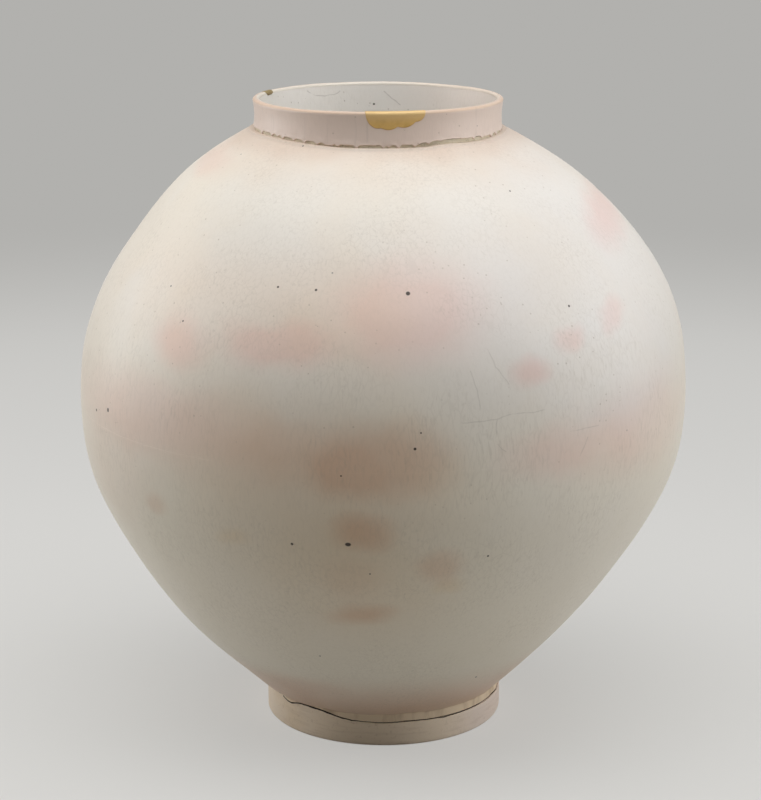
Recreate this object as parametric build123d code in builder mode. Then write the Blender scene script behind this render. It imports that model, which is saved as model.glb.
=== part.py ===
"""Lopsided white porcelain jar, luted together from pieces thrown apart on the wheel.

Two deep bowls meet rim to rim at the waist, a turned foot ring carries the lower one, and a short
collar stands on the opening of the upper one.  Slip, which is liquid clay, fills each of the three
joints.  Two chips in the lip are made good with lacquer.

Millimetres.  The origin is the centre of the foot ring on the ground, +Z is up and -Y is the front.
"""

import os
from math import cos, radians, sin, tan

from build123d import *

# Foot ring
FOOT_RADIUS = 76.0
FOOT_HEIGHT = 15.6
FOOT_WALL = 12.0
FOOT_BORE_DRAFT = 9.0
FOOT_OUTER_ROUND = 2.2
FOOT_INNER_ROUND = 1.4

# Slip in the joints
FOOT_SLIP = 0.7
WAIST_SLIP = 1.2
NECK_SLIP = 1.4
SLIP_RECESS = 1.2
WAIST_BEAD_WIDTH = 9.0
WAIST_BEAD_DEPTH = 3.0

# Both bowls
WALL = 7.0
WAIST_RADIUS = 191.6
SCARF_ANGLE = 24.0

# Lower bowl, with heights measured up from its base and insets measured in from the waist's radius
LOWER_BOWL_HEIGHT = 196.7
STUB_OVERHANG = 0.6
STUB_HEIGHT = 5.2
LOWER_SPREAD_ANGLE = 43.0
LOWER_FLANK_HEIGHT = 56.2
LOWER_FLANK_INSET = 64.1
LOWER_BELLY_HEIGHT = 121.7
LOWER_BELLY_INSET = 19.6
FLOOR = 11.0
FLOOR_DISC_RADIUS = 36.0
BASE_DISH = 3.0

# Upper bowl, with depths measured down from its neck and insets measured in from the waist's radius
UPPER_BOWL_HEIGHT = 168.0
UPPER_BELLY_DEPTH = 101.0
UPPER_BELLY_INSET = 12.6
SHOULDER_DEPTH = 53.0
SHOULDER_INSET = 44.6
SHOULDER_PITCH_ANGLE = 28.0
NECK_RADIUS = 79.0
NECK_SEAT = 9.0

# Collar
COLLAR_HEIGHT = 17.6
COLLAR_INSET = 1.8
COLLAR_HOLLOW = 0.7
LIP_FLARE = 0.4
LIP_THICKNESS = 4.2
LIP_CROWN = 1.9

# Drift of the soft clay off the foot's axis, towards +X
STUB_SWAY = -1.5
FLANK_SWAY = -3.4
WAIST_SWAY = -0.4
SHOULDER_SWAY = 1.4
NECK_SWAY = -3.6

# Chips in the lip, turned from the front towards +X
FRONT_CHIP_ANGLE = 8.0
FRONT_CHIP_LENGTH = 37.0
FRONT_CHIP_DEPTH = 10.2
REAR_CHIP_ANGLE = -111.5
REAR_CHIP_LENGTH = 10.6
REAR_CHIP_DEPTH = 2.8

# Points on the front chip's edge, as shares of its length and depth: a deep lobe beside a shallower one
FRONT_CHIP_EDGE = ((0.10, 0.70), (0.32, 1.00), (0.60, 0.85), (0.74, 0.80))

# Places along a bowl's outside, as shares of its length, where the wall's thickness is set off
WALL_STATIONS = (0.2, 0.4, 0.6, 0.8)
RINGS_PER_BOWL = 10

# Heights above the ground
bowl_base = FOOT_HEIGHT + FOOT_SLIP
stub_top = bowl_base + STUB_HEIGHT
flank_height = bowl_base + LOWER_FLANK_HEIGHT
lower_belly_height = bowl_base + LOWER_BELLY_HEIGHT
waist_height = bowl_base + LOWER_BOWL_HEIGHT
neck_height = waist_height + UPPER_BOWL_HEIGHT
upper_belly_height = neck_height - UPPER_BELLY_DEPTH
shoulder_height = neck_height - SHOULDER_DEPTH
collar_base = neck_height + NECK_SLIP
lip_height = collar_base + COLLAR_HEIGHT
lip_edge = lip_height - LIP_CROWN

# Radii that follow from a seat
stub_radius = FOOT_RADIUS + STUB_OVERHANG
foot_slip_radius = FOOT_RADIUS - SLIP_RECESS
neck_bore_radius = NECK_RADIUS - NECK_SEAT
collar_radius = NECK_RADIUS - COLLAR_INSET
neck_slip_radius = collar_radius - SLIP_RECESS
lip_radius = collar_radius + LIP_FLARE
lip_bore_radius = lip_radius - LIP_THICKNESS

waist_plane = Plane.XZ.move(Location((WAIST_SWAY, 0, 0)))
waist_axis = Axis((WAIST_SWAY, 0, 0), (0, 0, 1))
neck_plane = Plane.XZ.move(Location((NECK_SWAY, 0, 0)))
neck_axis = Axis((NECK_SWAY, 0, 0), (0, 0, 1))

sway_stations = (
    (stub_top, STUB_SWAY),
    (flank_height, FLANK_SWAY),
    (waist_height, WAIST_SWAY),
    ((upper_belly_height + shoulder_height) / 2, SHOULDER_SWAY),
    (neck_height, NECK_SWAY),
)


def sway(height):
    """Drift of the clay's centre at a height, easing from one station to the next."""
    for (low, start), (high, end) in zip(sway_stations, sway_stations[1:]):
        if height <= high:
            share = max(0.0, (height - low) / (high - low))
            return start + (end - start) * share * share * (3 - 2 * share)
    return NECK_SWAY


def foot_bore(height):
    """Radius inside the foot ring, which opens towards the ground."""
    return FOOT_RADIUS - FOOT_WALL - height * tan(radians(FOOT_BORE_DRAFT))


def mouth_bore(height):
    """Radius inside the mouth, which opens evenly from the neck to the edge of the lip."""
    share = (height - neck_height) / (lip_edge - neck_height)
    return neck_bore_radius + (lip_bore_radius - neck_bore_radius) * share


def scarf_height(radius, lift):
    """Height of the slanting joint at a radius: it falls outwards, through the middle of the wall."""
    return waist_height + lift + (WAIST_RADIUS - WALL / 2 - radius) * tan(radians(SCARF_ANGLE))


def set_in(profile, fraction):
    """Point one wall thickness inside an outside profile, square to it."""
    point = profile @ fraction
    along = profile % fraction
    return point.X - WALL * along.Y, point.Y + WALL * along.X


def thrown_form(lower_profile, upper_profile):
    """Solid through rings of clay that climb the lower bowl's profile and then the upper bowl's."""
    fractions = [ring / RINGS_PER_BOWL for ring in range(RINGS_PER_BOWL + 1)]
    stations = lower_profile.positions(fractions[:-1]) + upper_profile.positions(fractions)
    with BuildPart() as form:
        for station in stations:
            radius, height = station.X, station.Y
            with BuildSketch(Plane.XY.offset(height)):
                with Locations((sway(height), 0)):
                    Circle(radius)
        loft()
    return form.part


def scarf_side(lift, end_height):
    """Everything from the slanting joint, raised by lift, to a level at one end of the jar."""
    inside = WAIST_RADIUS - 2 * WALL
    outside = WAIST_RADIUS + WALL
    with BuildPart() as side:
        with BuildSketch(waist_plane):
            with BuildLine():
                Polyline(
                    (0, end_height),
                    (0, scarf_height(inside, lift)),
                    (inside, scarf_height(inside, lift)),
                    (outside, scarf_height(outside, lift)),
                    (outside, end_height),
                    close=True,
                )
            make_face()
        revolve(axis=waist_axis)
    return side.part


def chip_plane(angle):
    """Plane that touches the lip at an angle round it, with its origin at the lip's height."""
    turn = radians(angle)
    origin = (NECK_SWAY + lip_radius * sin(turn), -lip_radius * cos(turn), lip_height)
    return Plane(origin, x_dir=(cos(turn), sin(turn), 0), z_dir=(sin(turn), -cos(turn), 0))


# Outside and inside of the two bowls, drawn as radius and height
spread = radians(LOWER_SPREAD_ANGLE)
pitch = radians(SHOULDER_PITCH_ANGLE)
with BuildLine():
    lower_outside = Spline(
        (stub_radius, stub_top),
        (WAIST_RADIUS - LOWER_FLANK_INSET, flank_height),
        (WAIST_RADIUS - LOWER_BELLY_INSET, lower_belly_height),
        (WAIST_RADIUS, waist_height),
        tangents=((cos(spread), sin(spread)), (0, 1)),
    )
    upper_outside = Spline(
        (WAIST_RADIUS, waist_height),
        (WAIST_RADIUS - UPPER_BELLY_INSET, upper_belly_height),
        (WAIST_RADIUS - SHOULDER_INSET, shoulder_height),
        (NECK_RADIUS, neck_height),
        tangents=((0, 1), (-cos(pitch), sin(pitch))),
    )
    lower_inside = Spline(
        (FLOOR_DISC_RADIUS, bowl_base + FLOOR),
        *[set_in(lower_outside, fraction) for fraction in (*WALL_STATIONS, 1)],
        tangents=((1, 0), (0, 1)),
    )
    upper_inside = Spline(
        *[set_in(upper_outside, fraction) for fraction in (0, *WALL_STATIONS)],
        (neck_bore_radius, neck_height),
        tangents=((0, 1), (-cos(pitch), sin(pitch))),
    )

outer_form = thrown_form(lower_outside, upper_outside)
inner_form = thrown_form(lower_inside, upper_inside)
below_joint = scarf_side(-WAIST_SLIP / 2, 0)
above_joint = scarf_side(WAIST_SLIP / 2, lip_height)

# Foot ring, with a bore that opens downwards and a rounded edge on each side of its flat land
with BuildPart() as foot_ring:
    with BuildSketch(Plane.XZ):
        with BuildLine():
            Polyline(
                (foot_bore(0), 0),
                (FOOT_RADIUS, 0),
                (FOOT_RADIUS, FOOT_HEIGHT),
                (foot_bore(FOOT_HEIGHT), FOOT_HEIGHT),
                close=True,
            )
        make_face()
    revolve(axis=Axis.Z)
    fillet(foot_ring.edges().group_by(Axis.Z)[0].sort_by(SortBy.RADIUS)[-1], radius=FOOT_OUTER_ROUND)
    fillet(foot_ring.edges().group_by(Axis.Z)[0].sort_by(SortBy.RADIUS)[0], radius=FOOT_INNER_ROUND)

# Slip between the foot ring and the lower bowl, shrunk back from the outside
with BuildPart() as foot_slip:
    with BuildSketch(Plane.XZ):
        with BuildLine():
            Polyline(
                (foot_bore(FOOT_HEIGHT), FOOT_HEIGHT),
                (foot_slip_radius, FOOT_HEIGHT),
                (foot_slip_radius, bowl_base),
                (foot_bore(bowl_base), bowl_base),
                close=True,
            )
        make_face()
    revolve(axis=Axis.Z)

# Thrown wall of both bowls, with the stub that stands on the foot ring
with BuildPart() as thrown_wall:
    add(outer_form)
    with BuildSketch(Plane.XY.offset(bowl_base)):
        with Locations((STUB_SWAY, 0)):
            Circle(stub_radius)
    extrude(amount=STUB_HEIGHT)
    add(inner_form, mode=Mode.SUBTRACT)

# Lower bowl, with a dished underside inside the foot ring
with BuildPart() as lower_bowl:
    add(thrown_wall.part)
    add(below_joint, mode=Mode.INTERSECT)
    with BuildSketch(Plane.XZ):
        with BuildLine():
            dish_edge = (foot_bore(bowl_base), bowl_base)
            dish_top = (0, bowl_base + BASE_DISH)
            TangentArc(dish_top, dish_edge, tangent=(1, 0))
            Polyline(dish_edge, (0, bowl_base), dish_top)
        make_face()
    revolve(axis=Axis.Z, mode=Mode.SUBTRACT)

# Upper bowl, open at the neck, with a flat seat for the collar
with BuildPart() as upper_bowl:
    add(thrown_wall.part)
    add(above_joint, mode=Mode.INTERSECT)

# Bead of slip pressed over the joint inside the waist
with BuildPart() as waist_bead:
    with BuildSketch(waist_plane):
        inner_radius = WAIST_RADIUS - WALL
        with Locations((inner_radius, scarf_height(inner_radius, 0))):
            Ellipse(WAIST_BEAD_DEPTH, WAIST_BEAD_WIDTH / 2)
    revolve(axis=waist_axis)
    add(inner_form, mode=Mode.INTERSECT)

# Slip between the two rims, with its bead
with BuildPart() as waist_slip:
    add(thrown_wall.part)
    add(below_joint, mode=Mode.SUBTRACT)
    add(above_joint, mode=Mode.SUBTRACT)
    add(waist_bead.part)

# Slip between the upper bowl and the collar, shrunk back from the outside
with BuildPart() as neck_slip:
    with BuildSketch(neck_plane):
        with BuildLine():
            Polyline(
                (mouth_bore(neck_height), neck_height),
                (neck_slip_radius, neck_height),
                (neck_slip_radius, collar_base),
                (mouth_bore(collar_base), collar_base),
                close=True,
            )
        make_face()
    revolve(axis=neck_axis)

# Collar before it was chipped, with a hollow outer wall and a round lip
with BuildPart() as whole_collar:
    with BuildSketch(neck_plane):
        with BuildLine():
            foot_of_wall = (collar_radius, collar_base)
            outer_lip = (lip_radius, lip_edge)
            inner_lip = (lip_bore_radius, lip_edge)
            foot_of_bore = (mouth_bore(collar_base), collar_base)
            SagittaArc(foot_of_wall, outer_lip, COLLAR_HOLLOW)
            SagittaArc(inner_lip, outer_lip, LIP_CROWN)
            Polyline(inner_lip, foot_of_bore, foot_of_wall)
        make_face()
    revolve(axis=neck_axis)

# Front chip, with a steep left end and a long rise to the right
with BuildPart() as front_chip:
    with BuildSketch(chip_plane(FRONT_CHIP_ANGLE)):
        left = -FRONT_CHIP_LENGTH / 2
        right = FRONT_CHIP_LENGTH / 2
        lobes = [
            (left + along * FRONT_CHIP_LENGTH, -down * FRONT_CHIP_DEPTH)
            for along, down in FRONT_CHIP_EDGE
        ]
        with BuildLine():
            Spline((left, 0), *lobes, (right, 0))
            Polyline((right, 0), (right, LIP_CROWN), (left, LIP_CROWN), (left, 0))
        make_face()
    extrude(amount=2 * NECK_SEAT, both=True)

# Rear chip, one shallow scallop
with BuildPart() as rear_chip:
    with BuildSketch(chip_plane(REAR_CHIP_ANGLE)):
        left = -REAR_CHIP_LENGTH / 2
        right = REAR_CHIP_LENGTH / 2
        with BuildLine():
            ThreePointArc((left, 0), (0, -REAR_CHIP_DEPTH), (right, 0))
            Polyline((right, 0), (right, LIP_CROWN), (left, LIP_CROWN), (left, 0))
        make_face()
    extrude(amount=2 * NECK_SEAT, both=True)

with BuildPart() as mouth_collar:
    add(whole_collar.part)
    add(front_chip.part, mode=Mode.SUBTRACT)
    add(rear_chip.part, mode=Mode.SUBTRACT)

# Lacquer that fills each chip flush with the collar
with BuildPart() as front_lip_fill:
    add(whole_collar.part)
    add(front_chip.part, mode=Mode.INTERSECT)

with BuildPart() as rear_lip_fill:
    add(whole_collar.part)
    add(rear_chip.part, mode=Mode.INTERSECT)

pieces = {
    "foot_ring": foot_ring,
    "foot_slip": foot_slip,
    "lower_bowl": lower_bowl,
    "waist_slip": waist_slip,
    "upper_bowl": upper_bowl,
    "neck_slip": neck_slip,
    "mouth_collar": mouth_collar,
    "front_lip_fill": front_lip_fill,
    "rear_lip_fill": rear_lip_fill,
}
os.makedirs("parts", exist_ok=True)
for name, piece in pieces.items():
    piece.part.label = name
    export_step(piece.part, f"parts/{name}.step")
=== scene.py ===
import math
import random

import bpy
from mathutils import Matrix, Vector, noise


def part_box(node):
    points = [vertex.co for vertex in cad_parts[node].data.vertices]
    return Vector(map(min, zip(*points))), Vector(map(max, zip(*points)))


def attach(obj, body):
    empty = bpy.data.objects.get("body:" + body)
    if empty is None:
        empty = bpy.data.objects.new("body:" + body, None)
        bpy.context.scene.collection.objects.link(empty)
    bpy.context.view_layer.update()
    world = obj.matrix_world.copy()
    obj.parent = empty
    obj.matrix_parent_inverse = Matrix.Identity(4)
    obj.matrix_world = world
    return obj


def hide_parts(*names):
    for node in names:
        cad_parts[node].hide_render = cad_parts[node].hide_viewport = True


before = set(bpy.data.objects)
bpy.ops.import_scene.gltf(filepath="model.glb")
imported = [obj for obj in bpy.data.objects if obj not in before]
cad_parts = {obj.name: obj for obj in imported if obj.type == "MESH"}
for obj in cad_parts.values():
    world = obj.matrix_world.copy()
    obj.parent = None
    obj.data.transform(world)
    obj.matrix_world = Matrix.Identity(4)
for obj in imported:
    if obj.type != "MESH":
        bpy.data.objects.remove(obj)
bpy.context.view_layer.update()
scene = bpy.context.scene
MM = 0.001

# Camera, at the place and pitch from which the photo was taken
PHOTO_WIDTH = 761
PHOTO_HEIGHT = 800
SENSOR = 36.0
LENS = 105.85
CAMERA_PLACE = (-0.00205, -1.4577, 0.5784)
CAMERA_PITCH = math.radians(14.34)
FOCAL_PIXELS = LENS / SENSOR * PHOTO_HEIGHT

bpy.ops.object.camera_add(location=CAMERA_PLACE, rotation=(math.pi / 2 - CAMERA_PITCH, 0, 0))
camera = bpy.context.object
camera.data.lens = LENS
camera.data.sensor_width = SENSOR
scene.camera = camera
scene.view_settings.view_transform = "Standard"

# Where things lie on the jar


def meet(start, direction, shapes=None):
    """First point where a line from a start meets the jar's solids, or other shapes if they are given."""
    start = Vector(start)
    along = Vector(direction).normalized()
    found = [shape.ray_cast(start, along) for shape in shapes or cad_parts.values()]
    places = [place for hit, place, *_ in found if hit]
    if not places:
        raise ValueError(f"nothing lies along the line from {tuple(start)}")
    return min(places, key=lambda place: (place - start).length)


def on_jar(across, down, shapes=None):
    """Point of the jar that a pixel of the photo shows."""
    sight = Vector((across - PHOTO_WIDTH / 2, PHOTO_HEIGHT / 2 - down, -FOCAL_PIXELS))
    sight.rotate(camera.rotation_euler)
    return meet(camera.location, sight, shapes)


def turn_of(place, across=0.0):
    """Degrees round the jar from its front, positive towards the right."""
    return math.degrees(math.atan2(place.x - across, -place.y))


def smooth(value, low, high):
    """Eased step from 0 at low to 1 at high, or the other way round if low is above high."""
    share = min(1.0, max(0.0, (value - low) / (high - low)))
    return share * share * (3 - 2 * share)


def between(table, turn):
    """Value at a turn, straight between the entries of a table that goes once round."""
    around = [(table[-1][0] - 360, table[-1][1]), *table, (table[0][0] + 360, table[0][1])]
    for (low, start), (high, end) in zip(around, around[1:]):
        if low <= turn <= high:
            return start + (end - start) * (turn - low) / (high - low)
    return table[0][1]


def apart(turn, other):
    """Degrees between two turns, the short way round."""
    return abs((turn - other + 180) % 360 - 180)


# Sizes taken from the solids, and the joints' own sizes
FAR = 0.6
WALL = 7.0 * MM
SCARF_DROP = WALL * math.tan(math.radians(24))
foot_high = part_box("foot_ring")[1]
stub_low, lower_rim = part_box("lower_bowl")
upper_rim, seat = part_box("upper_bowl")
collar_low, lip_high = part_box("mouth_collar")
slip_low, slip_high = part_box("foot_slip")
FOOT_RADIUS = foot_high.x
FOOT_BORE = 64.0 * MM
FOOT_TOP_BORE = 61.5 * MM
FOOT_ROUND = 2.2 * MM
STUB_BASE = stub_low.z
STUB_RADIUS = 76.6 * MM
STUB_TOP = STUB_BASE + 5.2 * MM
STUB_DRIFT = -1.5 * MM
BASE_DISH = 3.0 * MM
NECK = seat.z
NECK_BORE = 70.0 * MM
NECK_DRIFT = (collar_low.x + lip_high.x) / 2
COLLAR_BASE = collar_low.z
COLLAR_RADIUS = 77.2 * MM
COLLAR_HOLLOW = 0.7 * MM
LIP_RADIUS = 77.6 * MM
LIP_BORE = 73.4 * MM
LIP_MIDDLE = 75.5 * MM
LIP_CROWN = 1.9 * MM
LIP_EDGE = lip_high.z - LIP_CROWN
POLE = 0.4 * MM


def ring_outside(height):
    """Radius, height and drift of the outside wall, measured from its left and right."""
    left = meet((-FAR, 0, height), (1, 0, 0)).x
    right = meet((FAR, 0, height), (-1, 0, 0)).x
    return (right - left) / 2, height, (right + left) / 2


def ring_inside(height):
    """Radius, height and drift of the inside wall, measured outwards from the hollow."""
    left = meet((0, 0, height), (-1, 0, 0)).x
    right = meet((0, 0, height), (1, 0, 0)).x
    return (right - left) / 2, height, (right + left) / 2


def floor_inside(radius):
    """Radius, height and drift of the floor inside, measured down from the mouth."""
    height = meet((0, -radius, lower_rim.z), (0, 0, -1)).z
    return radius, height, 0.0


def steps(start, end, count):
    """Evenly spaced values from a start to an end, both included."""
    return [start + (end - start) * index / (count - 1) for index in range(count)]


def corner(radius, height, bend, start, end, drift, count=4):
    """Rings round a corner: its centre, its bend, and its first and last angle in degrees."""
    angles = [math.radians(angle) for angle in steps(start, end, count)]
    return [(radius + bend * math.cos(angle), height + bend * math.sin(angle), drift) for angle in angles]


# Modelling


def deselect():
    for shown in list(bpy.context.selected_objects):
        shown.select_set(False)


def take(piece):
    """Makes one piece the active and only selected one."""
    deselect()
    piece.select_set(True)
    bpy.context.view_layer.objects.active = piece


def throw(name, rings, sides):
    """Pulls a wall up ring by ring, as on the wheel, and closes it."""
    radius, height, drift = rings[0]
    deselect()
    bpy.ops.mesh.primitive_circle_add(vertices=sides, radius=radius, location=(drift, 0, height))
    piece = bpy.context.object
    piece.name = name
    bpy.ops.object.transform_apply(location=True, rotation=True, scale=True)
    bpy.ops.object.mode_set(mode="EDIT")
    bpy.ops.mesh.select_all(action="SELECT")
    for next_radius, next_height, next_drift in rings[1:]:
        pull = (next_drift - drift, 0, next_height - height)
        grow = next_radius / radius
        radius, height, drift = next_radius, next_height, next_drift
        bpy.ops.mesh.extrude_region_move(TRANSFORM_OT_translate={"value": pull})
        bpy.ops.transform.resize(value=(grow, grow, 1), center_override=(drift, 0, height))
    bpy.ops.mesh.select_all(action="SELECT")
    bpy.ops.mesh.remove_doubles(threshold=MM / 200)
    bpy.ops.mesh.select_all(action="DESELECT")
    bpy.ops.mesh.select_non_manifold()
    if rings[0] != rings[-1]:
        bpy.ops.mesh.merge(type="COLLAPSE")
    bpy.ops.mesh.select_all(action="SELECT")
    bpy.ops.mesh.normals_make_consistent(inside=False)
    bpy.ops.object.mode_set(mode="OBJECT")
    return piece


def apply_modifier(piece, kind, **settings):
    """Adds a modifier with its settings and applies it."""
    take(piece)
    modifier = piece.modifiers.new(kind.lower(), kind)
    for key, value in settings.items():
        setattr(modifier, key, value)
    bpy.ops.object.modifier_apply(modifier=modifier.name)


def sculpt(piece, reach, direction, share, texture=None):
    """Pushes clay by up to a reach, as far as a share from 0 to 1 allows at each point."""
    touched = piece.vertex_groups.new(name="touched")
    for vertex in piece.data.vertices:
        weight = share(vertex.co)
        if weight > 0:
            touched.add([vertex.index], weight, "REPLACE")
    apply_modifier(
        piece,
        "DISPLACE",
        vertex_group=touched.name,
        direction=direction,
        strength=reach,
        mid_level=0.5 if texture else 0.0,
        texture=texture,
        texture_coords="LOCAL",
    )
    piece.vertex_groups.remove(piece.vertex_groups["touched"])


def lumps(name, size):
    """Soft uneven texture for pushing clay about."""
    texture = bpy.data.textures.new(name, "CLOUDS")
    texture.noise_scale = size
    texture.noise_depth = 2
    return texture


def finish_piece(piece, node, material, angle=40):
    """Gives a piece its material slot and shading, hides the solid of its node, and lets it ride with the
    jar.
    """
    take(piece)
    bpy.ops.object.shade_smooth_by_angle(angle=math.radians(angle))
    piece.data.materials.clear()
    piece.data.materials.append(material)
    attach(piece, "root")
    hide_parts(node)


# Crack round the foot: its path in the photo, and made-up entries for the side that it doesn't show
CRACK_PATH = (
    (279.5, 692.2), (283.5, 696.1), (287.5, 700.3), (291.5, 702.8), (299.5, 703.2), (303.5, 704.2),
    (311.5, 706.8), (319.5, 709.4), (327.5, 712.4), (335.5, 715.6), (343.5, 718.2), (351.5, 720.3),
    (363.5, 721.6), (383.5, 722.9), (403.5, 721.5), (419.5, 720.0), (431.5, 718.8), (443.5, 717.1),
    (459.5, 712.5), (475.5, 705.5), (483.5, 700.5), (491.5, 693.5), (495.5, 689.0),
)
CRACK_BEHIND = (
    (98, 21.0), (118, 18.4), (137, 17.0), (158, 18.2), (180, 16.6), (205, 17.4), (228, 20.0), (252, 22.0),
)
CRACK_OPEN = (
    (-67, 0.2), (-60, 0.7), (-50, 0.9), (-42, 1.3), (-32, 1.5), (-24, 1.1), (-12, 0.8), (0, 0.85),
    (14, 1.0), (24, 0.75), (50, 0.75), (75, 0.6), (110, 0.4), (150, 0.7), (185, 0.5), (225, 0.3),
    (250, 0.0), (275, 0.0),
)
CRACK_CLAY = 23.8 * MM
CRACK_LEAST = 0.8 * MM

crack = [(turn_of(place), place.z) for place in [on_jar(*pixel) for pixel in CRACK_PATH]]
crack += [(turn, height * MM) for turn, height in CRACK_BEHIND]
crack_open = [(turn, width * MM) for turn, width in CRACK_OPEN]
CRACK_REACH = 8.0 * MM
JOINT_GAP = slip_high.z - slip_low.z


def whole_turn(turn, table):
    """The same turn, counted so that it lies within a table's own round."""
    return turn + 360 if turn < table[0][0] else turn


def crack_rise(place):
    """How far the crack has wandered up from the joint, as a share of its reach."""
    turn = turn_of(place)
    height = between(crack, whole_turn(turn, crack))
    wander = 0.25 * MM * noise.noise(Vector((turn * 0.16, 0, 5)))
    rise = height + wander - (STUB_BASE - JOINT_GAP / 2)
    edge = smooth(math.hypot(place.x, place.y), FOOT_BORE, FOOT_RADIUS - 3 * MM)
    return max(0.0, rise / CRACK_REACH) * edge


def crack_width(place):
    """Width of the crack in front of its slip, counted in gaps of the joint."""
    turn = turn_of(place)
    return between(crack_open, whole_turn(turn, crack_open)) / JOINT_GAP


def ring_edge(place):
    """1 on the ring's upper outer edge, 0 behind it and lower down."""
    radius = math.hypot(place.x, place.y)
    outer = smooth(radius, FOOT_RADIUS - 1.1 * MM, FOOT_RADIUS - 0.5 * MM)
    return outer * smooth(place.z, 12 * MM, foot_high.z)


def ring_rise(place):
    """Share by which the ring's top follows the crack, fading out towards the land."""
    return crack_rise(place) * smooth(place.z, 4 * MM, foot_high.z)


def ring_closing(place):
    """Share by which the ring's edge rises where the crack is narrower than the joint."""
    return max(0.0, 1 - crack_width(place)) * ring_edge(place)


def ring_opening(place):
    """Share by which the ring's edge drops where the crack is wider than the joint."""
    return max(0.0, crack_width(place) - 1) / 2 * ring_edge(place)


def ring_wall_lumps(place):
    """Where the ring's outer wall is uneven: between its round lower edge and the crack."""
    radius = math.hypot(place.x, place.y)
    outer = smooth(radius, FOOT_RADIUS - 2 * MM, FOOT_RADIUS - MM)
    return smooth(place.z, 0.5 * MM, 4 * MM) * outer * smooth(place.z, 14 * MM, 9 * MM)


SIDES = 384
soft_lumps = lumps("soft_lumps", 70 * MM)
fine_lumps = lumps("fine_lumps", 9 * MM)
torn_lumps = lumps("torn_lumps", 2.2 * MM)

# Foot ring, with a round lower edge
RING_LUMPS = 0.9 * MM
ring_wall = foot_high.z - 0.4 * MM
foot_rings = [
    (FOOT_BORE - 0.2 * MM, 1.4 * MM, 0.0),
    (FOOT_BORE + 0.3 * MM, 0.4 * MM, 0.0),
    (FOOT_BORE + 1.4 * MM, 0.0, 0.0),
    (FOOT_RADIUS - 6 * MM, 0.0, 0.0),
    *corner(FOOT_RADIUS - FOOT_ROUND, FOOT_ROUND, FOOT_ROUND, -90, 0, 0.0, 6),
    *[(FOOT_RADIUS, height, 0.0) for height in steps(FOOT_ROUND, ring_wall, 13)[1:]],
    *corner(FOOT_RADIUS - 0.4 * MM, ring_wall, 0.4 * MM, 30, 90, 0.0, 3),
    *[(radius, foot_high.z, 0.0) for radius in steps(FOOT_RADIUS - 0.7 * MM, FOOT_TOP_BORE, 7)],
    *[(radius, height, 0.0) for radius, height in zip(
        steps(FOOT_TOP_BORE, FOOT_BORE - 0.2 * MM, 5)[1:], steps(foot_high.z, 1.4 * MM, 5)[1:])],
]
foot_ring = throw("foot_ring_clay", foot_rings, SIDES)
sculpt(foot_ring, CRACK_REACH, "Z", ring_rise)
sculpt(foot_ring, JOINT_GAP, "Z", ring_closing)
sculpt(foot_ring, -2 * JOINT_GAP, "Z", ring_opening)
sculpt(foot_ring, RING_LUMPS, "NORMAL", ring_wall_lumps, soft_lumps)

# Slip behind the crack
slip_radius = slip_high.x
slip_steps = steps(FOOT_TOP_BORE, slip_radius, 8)
foot_slip_rings = [(radius, slip_low.z, 0.0) for radius in slip_steps]
foot_slip_rings += [(radius, slip_high.z, 0.0) for radius in reversed(slip_steps)]
foot_slip_rings.append(foot_slip_rings[0])
foot_slip = throw("foot_slip_clay", foot_slip_rings, SIDES)
sculpt(foot_slip, CRACK_REACH, "Z", crack_rise)

# Lower bowl: dished underside, stub, outside wall, slanting rim, inside wall and floor
DISH_EDGE = FOOT_TOP_BORE
RIM_CLEAR = 7 * MM
RIM_EASE = 0.1 * MM
lower_rim_outside = lower_rim.z - SCARF_DROP
lower_bowl_rings = [
    (radius, STUB_BASE + BASE_DISH * (1 - (radius / DISH_EDGE) ** 2), 0.0)
    for radius in (POLE, *steps(12 * MM, DISH_EDGE, 6))
]
lower_bowl_rings += [
    (radius, STUB_BASE, STUB_DRIFT * smooth(radius, DISH_EDGE, STUB_RADIUS))
    for radius in steps(DISH_EDGE, STUB_RADIUS - 0.4 * MM, 8)[1:]
]
lower_bowl_rings += corner(STUB_RADIUS - 0.3 * MM, STUB_BASE + 0.3 * MM, 0.3 * MM, -60, 0, STUB_DRIFT, 3)
stub_heights = steps(STUB_BASE + 0.6 * MM, STUB_TOP, 8)[:-1]
lower_bowl_rings += [(STUB_RADIUS, height, STUB_DRIFT) for height in stub_heights]
lower_bowl_rings += [ring_outside(height) for height in steps(STUB_TOP + 0.5 * MM, 30 * MM, 9)]
lower_bowl_rings += [ring_outside(height) for height in steps(34 * MM, lower_rim_outside - RIM_EASE, 42)]
rim_radius, _, rim_drift = lower_bowl_rings[-1]
lower_bowl_rings += [
    (rim_radius - WALL * share, lower_rim_outside + SCARF_DROP * share, rim_drift) for share in (0.5, 1.0)
]
lower_bowl_rings += [ring_inside(height) for height in steps(lower_rim.z - RIM_CLEAR, 46 * MM, 26)]
lower_bowl_rings += [floor_inside(radius) for radius in (*steps(84 * MM, 12 * MM, 10), POLE)]
lower_bowl = throw("lower_bowl_glazed", lower_bowl_rings, SIDES)


def off_joint(place):
    """Fades the throwing marks out at the waist, where the two bowls have to meet."""
    return smooth(abs(place.z - lower_rim.z), 4 * MM, 30 * MM)


def outside_body(place):
    """Where throwing marks show: clear of the foot, the waist and the neck."""
    above_foot = smooth(place.z, STUB_TOP + 3 * MM, STUB_TOP + 25 * MM)
    return above_foot * off_joint(place) * smooth(NECK - place.z, 4 * MM, 25 * MM)


def stub_rise(place):
    """Share by which the stub's lower edge follows the crack, fading out up the clay."""
    return crack_rise(place) * smooth(place.z, CRACK_CLAY, STUB_BASE) if place.z < CRACK_CLAY else 0.0


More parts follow.
